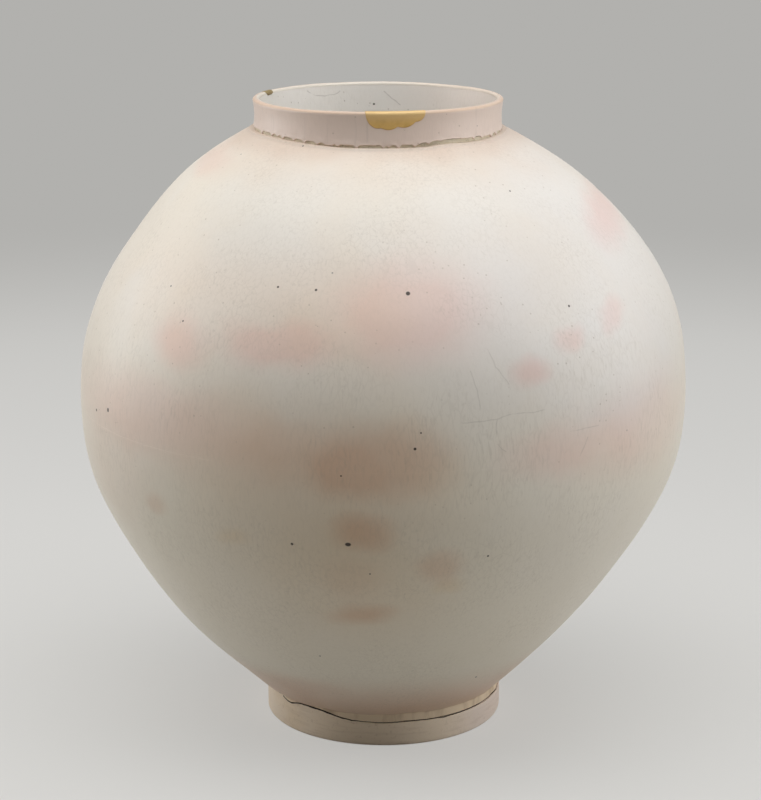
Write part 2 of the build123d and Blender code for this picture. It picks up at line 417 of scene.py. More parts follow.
THROWING_MARKS = 1.5 * MM
sculpt(lower_bowl, CRACK_REACH, "Z", stub_rise)
sculpt(lower_bowl, THROWING_MARKS, "NORMAL", outside_body, soft_lumps)

# Waist slip, flush outside and with a bead inside
upper_rim_outside = upper_rim.z
waist_outside, _, waist_drift = ring_outside(upper_rim_outside)
waist_inside = waist_outside - WALL
bead_middle = (lower_rim.z + upper_rim_outside + SCARF_DROP) / 2
BEAD_DEPTH = 3.0 * MM
BEAD_HALF = 4.5 * MM
bead = [
    (waist_inside - BEAD_DEPTH * math.sin(angle), bead_middle + BEAD_HALF * math.cos(angle), waist_drift)
    for angle in steps(0.05, math.pi - 0.05, 9)
]
waist_rings = [
    (waist_outside, lower_rim_outside - RIM_EASE, waist_drift),
    (waist_outside, (lower_rim_outside + upper_rim_outside) / 2, waist_drift),
    (waist_outside, upper_rim_outside + RIM_EASE, waist_drift),
    (waist_inside, upper_rim_outside + SCARF_DROP, waist_drift),
    *bead,
    (waist_inside, lower_rim.z, waist_drift),
    (waist_outside, lower_rim_outside - RIM_EASE, waist_drift),
]
waist_slip = throw("waist_slip_glazed", waist_rings, SIDES)

# Upper bowl: outside wall, rolled glaze edge at the neck, seat, inside wall and slanting rim
GLAZE_ROLL = 0.7 * MM
upper_bowl_rings = [ring_outside(height) for height in steps(upper_rim_outside + RIM_EASE, 366 * MM, 38)]
upper_bowl_rings += [ring_outside(height) for height in steps(368 * MM, NECK - GLAZE_ROLL, 11)]
roll_radius = upper_bowl_rings[-1][0]
upper_bowl_rings += corner(roll_radius - GLAZE_ROLL, NECK - GLAZE_ROLL, GLAZE_ROLL, 45, 90, NECK_DRIFT, 4)
upper_bowl_rings += [(radius, NECK, NECK_DRIFT) for radius in steps(roll_radius - 1.5 * MM, NECK_BORE, 6)]
upper_bowl_rings += [ring_inside(height) for height in steps(NECK - 2 * MM, 366 * MM, 5)]
upper_bowl_rings += [ring_inside(height) for height in steps(360 * MM, lower_rim.z + RIM_CLEAR, 24)]
upper_bowl_rings.append((waist_inside, upper_rim_outside + SCARF_DROP, waist_drift))
upper_bowl_rings.append(upper_bowl_rings[0])
upper_bowl = throw("upper_bowl_glazed", upper_bowl_rings, SIDES)
sculpt(upper_bowl, THROWING_MARKS, "NORMAL", outside_body, soft_lumps)

# Glaze torn at the neck: teeth that the photo shows along its front, and made-up ones behind
MOUTH_MIDDLE = 378.7
MOUTH_HALF = 122.0
TEETH = (
    (266.8, 1.0), (277, 0.9), (283, 0.6), (288, 1.0), (298.7, 0.8), (309, 1.0), (321.5, 1.0),
    (329.7, 0.7), (332.3, 0.8), (335, 0.7), (341, 0.5), (358.5, 1.0), (384, 0.9), (388.9, 0.8),
    (397.9, 1.0), (413.4, 0.7), (426.3, 0.9), (470.2, 1.0), (478, 0.6), (487.5, 0.8), (492.7, 0.9),
    (497.8, 0.8),
)
TOOTH_HALF = 0.85
TOOTH_DROP = 2.3 * MM
# Where more bare clay shows: turn and half width in degrees
BARE_PATCH = ((42, 12), (24, 4))
PATCH_LIFT = 1.3 * MM
TEETH_BEHIND = 26
SEED = 12

chance = random.Random(SEED)
teeth = [(math.degrees(math.asin((across - MOUTH_MIDDLE) / MOUTH_HALF)), drop) for across, drop in TEETH]
teeth += [(chance.uniform(92, 268), chance.uniform(0.5, 1.0)) for _ in range(TEETH_BEHIND)]


def from_neck_axis(place):
    """Distance from the collar's upright axis."""
    return math.hypot(place.x - NECK_DRIFT, place.y)


def neck_edge(place):
    """1 at the collar's lower outer edge, fading out up the wall."""
    outer = smooth(from_neck_axis(place), COLLAR_RADIUS - 2.2 * MM, COLLAR_RADIUS - 0.8 * MM)
    return smooth(place.z, COLLAR_BASE + 2.6 * MM, COLLAR_BASE) * outer


def tooth(place):
    """How far a tooth of glaze hangs over the torn line, as a share of its most."""
    edge = neck_edge(place)
    if not edge:
        return 0.0
    turn = turn_of(place, NECK_DRIFT)
    return edge * max(drop * math.exp(-(apart(turn, middle) / TOOTH_HALF) ** 2) for middle, drop in teeth)


def bare_patch(place):
    """How far the glaze's edge has drawn back up the collar, as a share of its most."""
    edge = neck_edge(place)
    if not edge:
        return 0.0
    turn = turn_of(place, NECK_DRIFT)
    wide = max(smooth(apart(turn, middle), half + 3, half - 2) for middle, half in BARE_PATCH)
    ragged = 0.5 + 0.5 * noise.noise(Vector((turn * 0.35, 3, 8)))
    return edge * min(1.0, 0.35 * ragged + 0.75 * wide * (0.6 + 0.4 * ragged))


# Collar, with a hollow outer wall, a round lip and a ragged lower edge
COLLAR_SIDES = 640
wall_height = LIP_EDGE - COLLAR_BASE


def collar_ring(share):
    """Ring of the collar's outer wall at a share of its height."""
    radius = COLLAR_RADIUS + (LIP_RADIUS - COLLAR_RADIUS) * share - 4 * COLLAR_HOLLOW * share * (1 - share)
    return radius, COLLAR_BASE + wall_height * share, NECK_DRIFT


collar_bore = NECK_BORE + (LIP_BORE - NECK_BORE) * (COLLAR_BASE - NECK) / (LIP_EDGE - NECK)
collar_rings = [
    (COLLAR_RADIUS - 1.0 * MM, COLLAR_BASE, NECK_DRIFT),
    (COLLAR_RADIUS - 0.4 * MM, COLLAR_BASE + 0.08 * MM, NECK_DRIFT),
    *[collar_ring(share) for share in steps(0.025, 0.22, 9)],
    *[collar_ring(share) for share in steps(0.28, 0.95, 9)],
    *[
        ((LIP_RADIUS + LIP_BORE) / 2 + (LIP_RADIUS - LIP_BORE) / 2 * math.cos(angle),
         LIP_EDGE + LIP_CROWN * math.sin(angle), NECK_DRIFT)
        for angle in steps(0, math.pi, 13)
    ],
    *[(radius, height, NECK_DRIFT) for radius, height in zip(
        steps(LIP_BORE, collar_bore, 9)[1:], steps(LIP_EDGE, COLLAR_BASE, 9)[1:])],
    *[(radius, COLLAR_BASE, NECK_DRIFT) for radius in steps(collar_bore, COLLAR_RADIUS - 1.0 * MM, 4)[1:]],
]


def low_outer_wall(place):
    """1 along the foot of the collar's outer wall, 0 higher up and on other faces."""
    outer = from_neck_axis(place) > COLLAR_RADIUS - 2 * MM
    return smooth(place.z, COLLAR_BASE + 4 * MM, COLLAR_BASE + 1.5 * MM) * outer


def near_lip(place):
    """1 at the lip, fading out down the collar."""
    return smooth(place.z, LIP_EDGE - 8 * MM, LIP_EDGE)


GLAZE_LUMPS = 0.9 * MM
LIP_WAVER = 1.0 * MM
mouth_collar = throw("mouth_collar_glazed", collar_rings, COLLAR_SIDES)
sculpt(mouth_collar, PATCH_LIFT, "Z", bare_patch)
sculpt(mouth_collar, -TOOTH_DROP, "Z", tooth)
sculpt(mouth_collar, GLAZE_LUMPS, "NORMAL", low_outer_wall, fine_lumps)
sculpt(mouth_collar, LIP_WAVER, "Z", near_lip, soft_lumps)

# Neck slip, a torn band of bare clay between the shoulder and the collar
BAND_PROUD = 0.5 * MM
BAND_BACK = 2 * MM
BAND_CLEAR = 0.02 * MM
BAND_LUMPS = 0.8 * MM
band_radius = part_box("neck_slip")[1].x - NECK_DRIFT + BAND_PROUD
band_low = NECK + BAND_CLEAR
band_high = COLLAR_BASE - BAND_CLEAR
band_rings = [
    (NECK_BORE + 0.1 * MM, band_low, NECK_DRIFT),
    (band_radius - BAND_BACK, band_low, NECK_DRIFT),
    *[(band_radius, height, NECK_DRIFT) for height in steps(band_low, band_high, 5)],
    (band_radius - BAND_BACK, band_high, NECK_DRIFT),
    (collar_bore + 0.1 * MM, band_high, NECK_DRIFT),
    (NECK_BORE + 0.1 * MM, band_low, NECK_DRIFT),
]


def band_top(place):
    """Share by which the band's top follows the glaze that has drawn back over it."""
    return bare_patch(place) if place.z > COLLAR_BASE - 0.3 * MM else 0.0


def band_face(place):
    """1 on the band's outer face, 0 behind it."""
    return smooth(from_neck_axis(place), band_radius - MM, band_radius)


neck_slip = throw("neck_slip_clay", band_rings, COLLAR_SIDES)
sculpt(neck_slip, PATCH_LIFT, "Z", band_top)
sculpt(neck_slip, BAND_LUMPS, "NORMAL", band_face, torn_lumps)

# Collar's foot, which hangs lower along the front: turns, and shares of the most that it hangs
NECK_SAG = (
    (-75, 0.0), (-54, 0.0), (-45, 0.25), (-34, 0.55), (-24, 0.8), (-15, 1.0), (15, 1.0), (22, 0.95),
    (27, 0.6), (35, 0.55), (42, 0.75), (54, 0.8), (66, 0.55), (85, 0.4), (110, 0.25), (180, 0.25),
    (260, 0.1),
)
SAG_MOST = 2.4 * MM
SAG_START = 364 * MM
SAG_END = LIP_EDGE - 4 * MM


def sag(place):
    """How far the collar's foot hangs at a place, as a share of its most."""
    turn = turn_of(place, NECK_DRIFT)
    return between(NECK_SAG, whole_turn(turn, NECK_SAG))


sculpt(upper_bowl, -SAG_MOST, "Z", lambda place: sag(place) * smooth(place.z, SAG_START, NECK))
sculpt(neck_slip, -SAG_MOST, "Z", sag)
sculpt(mouth_collar, -SAG_MOST, "Z", lambda place: sag(place) * smooth(place.z, SAG_END, COLLAR_BASE))

# Chips in the lip, cut with lobed plugs, and their lacquer
FRONT_CHIP_TURN = 8.0
REAR_CHIP_TURN = -111.5
# Lobes: place along the lip, half length and depth, in millimetres
FRONT_LOBES = ((-10.4, 7.6, 9.7), (-4.4, 9.4, 10.7), (4.8, 9.2, 9.5), (12.1, 5.9, 6.2))
REAR_LOBES = ((-1.6, 3.7, 2.6), (1.6, 3.7, 2.7))
PLUG_DEPTH = 16 * MM
PLUG_SIDES = 64
CHIP_LUMPS = 0.9 * MM
LACQUER_PROUD = 0.3 * MM
LACQUER_GRAIN = 0.35 * MM


def plug(name, turn, lobes):
    """Cutter that stands square to the lip at a turn: elliptical lobes side by side."""
    angle = math.radians(turn)
    middle = Vector((NECK_DRIFT + LIP_MIDDLE * math.sin(angle), -LIP_MIDDLE * math.cos(angle), lip_high.z))
    tangent = Vector((math.cos(angle), math.sin(angle), 0))
    made = None
    for along, half_length, half_depth in lobes:
        deselect()
        bpy.ops.mesh.primitive_cylinder_add(
            vertices=PLUG_SIDES, radius=MM, depth=PLUG_DEPTH, location=middle + tangent * along * MM,
            rotation=(math.pi / 2, 0, angle), scale=(half_length, half_depth, 1))
        lobe = bpy.context.object
        bpy.ops.object.transform_apply(location=True, rotation=True, scale=True)
        if made is None:
            made = lobe
        else:
            apply_modifier(made, "BOOLEAN", operation="UNION", object=lobe, solver="MANIFOLD")
            bpy.data.objects.remove(lobe)
    made.name = name
    apply_modifier(
        made, "DISPLACE", strength=CHIP_LUMPS, mid_level=0.5, texture=fine_lumps, texture_coords="LOCAL")
    return made


def mend_chip(name, turn, lobes):
    """Cuts a chip out of the collar and returns the lacquer that fills it, a little proud."""
    cutter = plug(name + "_plug", turn, lobes)
    take(mouth_collar)
    bpy.ops.object.duplicate(linked=False)
    fill = bpy.context.object
    fill.name = name
    apply_modifier(fill, "DISPLACE", strength=LACQUER_PROUD, mid_level=0.0)
    apply_modifier(fill, "BOOLEAN", operation="INTERSECT", object=cutter, solver="MANIFOLD")
    apply_modifier(fill, "REMESH", mode="VOXEL", voxel_size=LACQUER_GRAIN)
    apply_modifier(fill, "SMOOTH", factor=0.5, iterations=4)
    apply_modifier(mouth_collar, "BOOLEAN", operation="DIFFERENCE", object=cutter, solver="MANIFOLD")
    bpy.data.objects.remove(cutter)
    return fill


front_lip_fill = mend_chip("front_lip_fill_gold", FRONT_CHIP_TURN, FRONT_LOBES)
rear_lip_fill = mend_chip("rear_lip_fill_gold", REAR_CHIP_TURN, REAR_LOBES)

# Pieces on which marks lie
bpy.context.view_layer.update()
marked = (foot_ring, lower_bowl, waist_slip, upper_bowl, mouth_collar)

# Materials


class Socket:
    """An output in a material's nodes; an operator between it and a value adds a Math node."""

    def __init__(self, finish, output):
        self.finish = finish
        self.output = output

    def other(self, name):
        """Another output of the same node."""
        return Socket(self.finish, self.output.node.outputs[name])

    def math(self, operation, first, second):
        return self.finish.node("ShaderNodeMath", {"operation": operation}, {0: first, 1: second})

    def __add__(self, other):
        return self.math("ADD", self, other)

    def __radd__(self, other):
        return self.math("ADD", other, self)

    def __sub__(self, other):
        return self.math("SUBTRACT", self, other)

    def __rsub__(self, other):
        return self.math("SUBTRACT", other, self)

    def __mul__(self, other):
        return self.math("MULTIPLY", self, other)

    def __rmul__(self, other):
        return self.math("MULTIPLY", other, self)

    def __gt__(self, other):
        return self.math("GREATER_THAN", self, other)


class Finish:
    """A material and what its nodes are made with."""

    def __init__(self, name):
        self.material = bpy.data.materials.new(name)
        self.material.use_nodes = True
        self.nodes = self.material.node_tree.nodes
        self.links = self.material.node_tree.links
        self.nodes.clear()

    def node(self, kind, settings=None, sockets=None, output=0):
        """Adds a node, sets it up, fills its sockets with values or links, and returns an output."""
        made = self.nodes.new(kind)
        for key, value in (settings or {}).items():
            setattr(made, key, value)
        for key, value in (sockets or {}).items():
            if isinstance(value, Socket):
                self.links.new(value.output, made.inputs[key])
            else:
                made.inputs[key].default_value = value
        return Socket(self, made.outputs[output]) if made.outputs else None

    def place(self):
        return self.node("ShaderNodeTexCoord", output="Object")

    def vector(self, operation, first, second, third=None):
        sockets = {0: first, 1: second}
        if third is not None:
            sockets[2] = third
        return self.node("ShaderNodeVectorMath", {"operation": operation}, sockets)

    def length(self, vector):
        return self.node("ShaderNodeVectorMath", {"operation": "LENGTH"}, {0: vector}, "Value")

    def ease(self, value, low, high, start=0.0, end=1.0):
        """Smooth step of a value from one level at low to another at high."""
        sockets = {0: value, 1: low, 2: high, 3: start, 4: end}
        return self.node("ShaderNodeMapRange", {"interpolation_type": "SMOOTHSTEP"}, sockets)

    def most(self, first, second):
        return self.node("ShaderNodeMath", {"operation": "MAXIMUM"}, {0: first, 1: second})

    def least(self, first, second):
        return self.node("ShaderNodeMath", {"operation": "MINIMUM"}, {0: first, 1: second})

    def tint(self, share, first, second, blend="MIX"):
        """Colour that goes from a first to a second as a share goes from 0 to 1."""
        settings = {"data_type": "RGBA", "blend_type": blend, "clamp_factor": True}
        return self.node("ShaderNodeMix", settings, {0: share, 6: first, 7: second}, 2)

    def multiply_tint(self, share, colour, veil):
        """Colour seen through a veil that takes more of it away as a share goes from 0 to 1."""
        return self.tint(share, colour, veil, "MULTIPLY")

    def cloud(self, place, scale, detail=2.0, output="Factor"):
        names = {"Factor": 0, "Color": 1}
        return self.node(
            "ShaderNodeTexNoise", None, {"Vector": place, "Scale": scale, "Detail": detail}, names[output])

    def surface(self, colour, roughness, normal=None, **constants):
        """Closes the material with one shader; constants go straight on its sockets."""
        sockets = {"Base Color": colour, "Roughness": roughness}
        if normal is not None:
            sockets["Normal"] = normal
        sockets.update({key.replace("_", " "): value for key, value in constants.items()})
        shader = self.node("ShaderNodeBsdfPrincipled", None, sockets)
        self.node("ShaderNodeOutputMaterial", None, {"Surface": shader})
        return self.material


def shade(red, green, blue):
    """Colour as it shows on a screen, from 0 to 255, turned into light."""
    def light(value):
        value /= 255
        return value / 12.92 if value <= 0.04045 else ((value + 0.055) / 1.055) ** 2.4
    return light(red), light(green), light(blue), 1.0


GLAZE = shade(236, 230, 220)
GLAZE_CREAM = shade(237, 228, 214)
GLAZE_LOW = shade(232, 224, 207)
GLAZE_COLLAR = shade(232, 214, 202)
# Near-white glaze for the collar's inside, paler than the outside: painted light
GLAZE_INSIDE_PAINTED_LIGHT = shade(251, 247, 240)
CRAZE = shade(168, 156, 140)
IRON = shade(48, 36, 28)
PIT = shade(150, 132, 112)
HAIR = shade(128, 116, 102)
CLAY = shade(240, 220, 192)
CLAY_PALE = shade(243, 228, 208)
CLAY_ROSE = shade(243, 228, 217)
# Paler clay for the front of the foot: painted light
CLAY_FRONT_PAINTED_LIGHT = shade(253, 236, 212)
CLAY_DARK = shade(184, 158, 130)
# Painted shadow inside the crack round the foot
CRACK_SHADOW = shade(34, 20, 14)
BAND = shade(222, 212, 190)
BAND_DARK = shade(172, 162, 138)
STREAK = shade(172, 158, 150)
LIP_PEACH = shade(236, 200, 168)
GOLD = shade(221, 182, 110)
GOLD_DARK = shade(200, 162, 90)
GOLD_PALE = shade(228, 195, 140)
GOLD_OLIVE = shade(138, 121, 82)

# What is left of red, green and blue light where the glaze is stained, where painted shade darkens it and
# where a painted reflection cools it
# Cool tint that paints the reflection of the right soft box
PAINTED_REFLECTION_VEIL = (0.97, 0.99, 1.05, 1)
OCHRE_VEIL = (0.98, 0.91, 0.82, 1)
PINK_VEIL = (1.00, 0.85, 0.84, 1)
RUST_VEIL = (0.90, 0.75, 0.68, 1)
PEACH_VEIL = (1.00, 0.90, 0.85, 1)
# Peach stain round the neck, darkened further as painted shade below the collar
HALO_STAIN_AND_SHADE = (0.86, 0.76, 0.71, 1)
RIM_VEIL = (0.84, 0.80, 0.75, 1)
# Warm stain towards the foot, darker as painted shade towards the bottom
HEM_STAIN_AND_SHADE = (0.92, 0.73, 0.66, 1)

# Stains seen in the photo, and cool patches of painted reflection of the right soft box, as pixels: middle,
# half width, half height and strength
# Cool patches on the right: a painted reflection of the right soft box, not stains
PAINTED_REFLECTION_PATCHES = ((575, 280, 130, 125, 0.9), (615, 375, 75, 45, 0.8), (600, 545, 90, 100, 0.5))
OCHRE_STAINS = (
    (325, 490, 115, 85, 0.80), (225, 312, 80, 44, 0.40), (360, 595, 75, 55, 0.50), (340, 312, 60, 46, 0.40),
    (235, 537, 15, 9, 0.60), (446, 586, 14, 9, 0.60),
)
PINK_STAINS = (
    (412, 314, 58, 39, 1.00), (400, 306, 100, 58, 0.20), (248, 347, 27, 19, 0.85), (296, 347, 35, 19, 0.85),
    (181, 342, 24, 22, 0.85), (240, 308, 115, 50, 0.20), (530, 371, 16, 13, 0.95), (571, 337, 14, 12, 0.80),
    (614, 315, 11, 13, 0.75), (604, 211, 24, 28, 1.00), (545, 455, 42, 22, 0.60), (592, 444, 52, 34, 0.38),
    (645, 425, 54, 44, 0.60), (140, 412, 85, 34, 0.50), (212, 158, 22, 15, 0.55), (215, 440, 120, 42, 0.32),
    (110, 460, 44, 60, 0.30),
)
RUST_STAINS = (
    (386, 463, 55, 33, 0.85), (346, 478, 30, 22, 0.42), (284, 452, 60, 28, 0.40), (366, 534, 27, 17, 0.80),
    (441, 567, 20, 17, 0.60), (350, 580, 28, 24, 0.25), (361, 614, 29, 13, 0.80), (320, 590, 120, 85, 0.12),
    (290, 490, 130, 45, 0.10), (156, 505, 9, 11, 0.50), (298, 684, 40, 14, 0.40),
)
# Iron specks, with their half width and half height in millimetres
SPECKS = (
    (408, 293.5, 1.5, 1.5), (348, 544.5, 2.1, 1.5), (292, 544, 1.0, 1.1), (415, 449, 1.0, 1.0),
    (488, 556, 0.8, 0.8), (96.5, 410, 1.2, 1.0), (108, 410, 1.4, 1.6), (569, 306, 0.9, 0.9),
    (510, 191, 0.7, 0.7), (278, 287, 0.8, 0.8), (316, 290, 0.9, 0.9), (183, 321, 0.7, 0.7),
    (171, 286, 0.6, 0.6), (320, 656, 0.6, 0.6), (421, 433, 0.6, 0.6), (341, 476, 0.6, 0.6),
    (370, 574, 0.6, 0.6), (476, 677, 0.9, 0.7), (303, 146, 0.7, 0.9), (374, 104, 0.9, 0.8),
)
# Hairlines in the glaze
HAIRLINES = (
    ((462, 423), (482, 421.5), (497, 419.5), (510, 414.5), (527, 412.5), (545, 410)),
    ((497, 419.5), (496, 431), (497, 444), (506, 452)),
    ((470, 371), (477, 391), (481, 412)),
    ((488, 349), (495, 367), (509, 383)),
    ((570, 432), (585, 428), (599, 425)),
    ((588, 437), (580, 456)),
    ((307, 91), (315, 95), (324, 96), (334, 94.5), (340, 91)),
    ((384, 91), (391, 98), (400, 105)),
)
PIXEL = 0.62 * MM

# Where a stain or a patch of painted reflection is full and where it has faded out, in its half widths, and
# how far it strays
SPOT_CORE = 0.25
SPOT_FADE = 1.6
SPOT_DRIFT = 10 * MM

# How far stains and patches of painted reflection, hairlines and the crack's painted shadow stray from
# their paths along each axis
SPOT_STRAY = (8 * MM, 8 * MM, 7 * MM)
HAIR_STRAY = (1.2 * MM, 1.2 * MM, 1.2 * MM)
CRACK_STRAY = (0.3 * MM, 0.3 * MM, 0.3 * MM)

STAINS_AND_PAINTED_REFLECTION = (
    (PAINTED_REFLECTION_VEIL, PAINTED_REFLECTION_PATCHES),
    (OCHRE_VEIL, OCHRE_STAINS),
    (PINK_VEIL, PINK_STAINS),
    (RUST_VEIL, RUST_STAINS),
)
stain_and_reflection_spots = []
for veil, listed_patches in STAINS_AND_PAINTED_REFLECTION:
    for across, down, half_width, half_height, strength in listed_patches:
        size = Vector((half_width, 3 * max(half_width, half_height), half_height)) * PIXEL
        stain_and_reflection_spots.append((veil, on_jar(across, down, marked), size, strength))
speck_spots = [
    (on_jar(across, down, marked), Vector((half_width, half_width, half_height)) * MM)
    for across, down, half_width, half_height in SPECKS
]


def runs_along(path):
    """Straight runs between the places that a path of pixels shows."""
    places = [on_jar(*pixel, marked) for pixel in path]
    return list(zip(places, places[1:]))


hair_runs = [run for path in HAIRLINES for run in runs_along(path)]
crack_runs = runs_along(CRACK_PATH)

# Made-up stains and specks for the side that the photo doesn't show
BEHIND_STAINS = 16
BEHIND_SPECKS = 14
for _ in range(BEHIND_STAINS):
    turn = math.radians(chance.uniform(100, 260))
    height = chance.uniform(70, 340) * MM
    outward = Vector((math.sin(turn), -math.cos(turn), 0))
    place = meet(outward * FAR + Vector((0, 0, height)), -outward)
    half = chance.uniform(9, 36) * MM
    veil = RUST_VEIL if height < 190 * MM else PINK_VEIL
    stain_and_reflection_spots.append((veil, place, Vector((half, half, half * 0.6)), chance.uniform(0.35, 0.8)))
for _ in range(BEHIND_SPECKS):
    turn = math.radians(chance.uniform(95, 265))
    outward = Vector((math.sin(turn), -math.cos(turn), 0))
    place = meet(outward * FAR + Vector((0, 0, chance.uniform(60, 360) * MM)), -outward)
    half = chance.uniform(0.5, 1.4) * MM
    speck_spots.append((place, Vector((half, half, half))))


def stray(mix, place, scale, detail, reach):
    """Random shift of up to a reach each way along each axis."""
    drifted = mix.cloud(place, scale, detail, "Color")
    return mix.vector(
        "MULTIPLY_ADD", drifted, tuple(2 * most for most in reach), tuple(-most for most in reach))


def from_axis(mix, place):
    """Distance from the collar's upright axis."""
    off_middle = mix.vector("SUBTRACT", place, (NECK_DRIFT, 0, 0))
    return mix.length(mix.vector("MULTIPLY", off_middle, (1, 1, 0)))


def nearness(mix, place, middle, size):
    """Distance from a spot's middle, in its own half widths."""
    per_width = tuple(1 / width for width in size)
    shifted = tuple(-point / width for point, width in zip(middle, size))
    return mix.length(mix.vector("MULTIPLY_ADD", place, per_width, shifted))


def dots(mix, place, scale, reach, share):
    """Scattered dots: a share of the cells of a pattern hold one each."""
    distance = mix.node("ShaderNodeTexVoronoi", None, {"Vector": place, "Scale": scale}, "Distance")
    lot = mix.node("ShaderNodeSeparateColor", None, {0: distance.other("Color")})
    return mix.ease(distance, reach * 0.5, reach, 1.0, 0.0) * (lot > 1 - share)


def hairline(mix, place, start, end):
    """Distance from a straight run of a hairline."""
    run = end - start
    from_start = mix.vector("SUBTRACT", place, tuple(start))
    along = mix.node("ShaderNodeVectorMath", {"operation": "DOT_PRODUCT"},
                     {0: from_start, 1: tuple(run / run.length_squared)}, "Value")
    held = mix.node("ShaderNodeClamp", None, {0: along})
    foot = mix.node("ShaderNodeVectorMath", {"operation": "SCALE"}, {0: tuple(run), "Scale": held})
    return mix.length(mix.vector("SUBTRACT", from_start, foot))


def painted_crack_shadow(mix, place):
    """1 along the crack that the photo shows round the foot, 0 beside it."""
    wandering = mix.vector("ADD", place, stray(mix, place, 260, 2, CRACK_STRAY))
    nearest = None
    for start, end in crack_runs:
        half = max(CRACK_LEAST, between(crack_open, turn_of((start + end) / 2))) / 2
        gap = hairline(mix, wandering, start, end) * (1 / half)
        nearest = gap if nearest is None else mix.least(nearest, gap)
    return mix.ease(nearest, 1.15, 0.65)


# Heights at which the glaze changes
CREAM_START = 300 * MM
CREAM_FULL = 150 * MM
HALO_START = 350 * MM
HALO_FULL = 374 * MM
NECK_HALO_START = 375 * MM
NECK_HALO_FULL = 385 * MM
HEM_START = 66 * MM
HEM_FULL = 26 * MM
BARE_START = 24.4 * MM
BARE_FULL = 23.2 * MM
SPECKLED_START = 170 * MM
SPECKLED_FULL = 250 * MM

# Radii between which the underside's plain clay gives way to the stub's streaks
DISH_PLAIN = 64 * MM
STUB_STREAKED = 74 * MM

# How strongly crazing and hairlines show, on the body and on the collar
CRAZE_BODY = 0.20
CRAZE_COLLAR = 0.07
HAIR_BODY = 0.18
HAIR_COLLAR = 0.28


